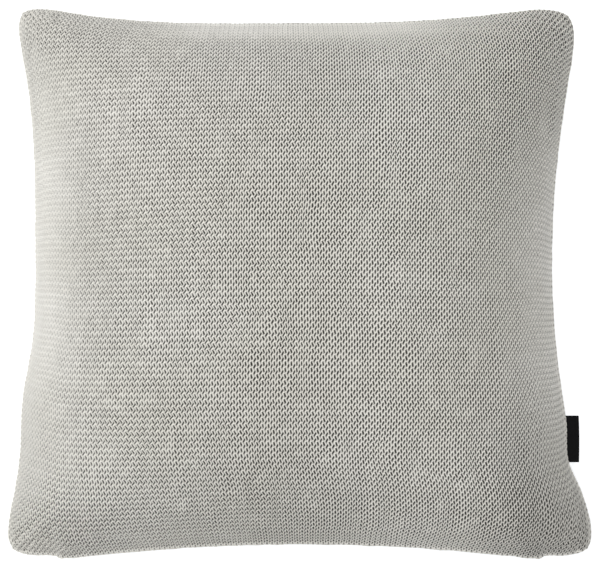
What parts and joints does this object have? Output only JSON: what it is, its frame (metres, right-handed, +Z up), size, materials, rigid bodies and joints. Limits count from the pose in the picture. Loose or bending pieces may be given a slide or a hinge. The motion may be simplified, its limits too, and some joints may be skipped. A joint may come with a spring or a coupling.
{
  "type": "throw pillow",
  "caption": "Square throw pillow lying flat: chunky knit cover with pulled-in sides, zip along the bottom seam, folded side label, and a fibre-filled insert.",
  "frame": {"origin": "on the floor plane, below the middle of the cushion's outline", "axes": "+Z up, out of the front face; +Y towards the top edge; +X towards the edge that holds the label"},
  "size_m": [0.4916, 0.4708, 0.162],
  "materials": {
    "knit_cover": "matte",
    "thread": "matte",
    "insert_cloth": "matte",
    "filling": "matte",
    "zip_tape": "matte",
    "zip_coil": "satin",
    "zip_metal": "satin",
    "label": "matte"
  },
  "bodies": {
    "cushion": {"front_cover_panel": "knit_cover", "rear_cover_panel": "knit_cover", "overlock_thread": "thread", "insert_casing_front": "insert_cloth", "insert_casing_rear": "insert_cloth", "insert_seam": "thread", "fibre_filling": "filling", "zip_tape_front": "zip_tape", "zip_tape_rear": "zip_tape", "zip_coil_front": "zip_coil", "zip_coil_rear": "zip_coil", "zip_top_stop_front": "zip_metal", "zip_top_stop_rear": "zip_metal", "zip_bottom_stop": "zip_metal"},
    "zip_slider": {"zip_slider": "zip_metal"},
    "zip_puller": {"zip_puller": "zip_metal"},
    "side_label": {"side_label": "label"}
  },
  "joints": [
    {"name": "zip_travel", "type": "hinge", "parent": "cushion", "child": "zip_slider", "pos_m": [0, -1.765, 0.074], "axis": [0, 0, -1], "range_deg": [0, 13.57]},
    {"name": "puller_turn", "type": "hinge", "parent": "zip_slider", "child": "zip_puller", "pos_m": [-0.18275, -0.22934, 0.074], "axis": [0, 0, -1], "range_deg": [0, 180]},
    {"name": "label_flap", "type": "hinge", "parent": "cushion", "child": "side_label", "pos_m": [0.2287, -0.13092, 0.074], "axis": [-0.1045, 0.9945, 0], "range_deg": [-40, 40], "stiffness_Nm_per_rad": 0.002}
  ]
}
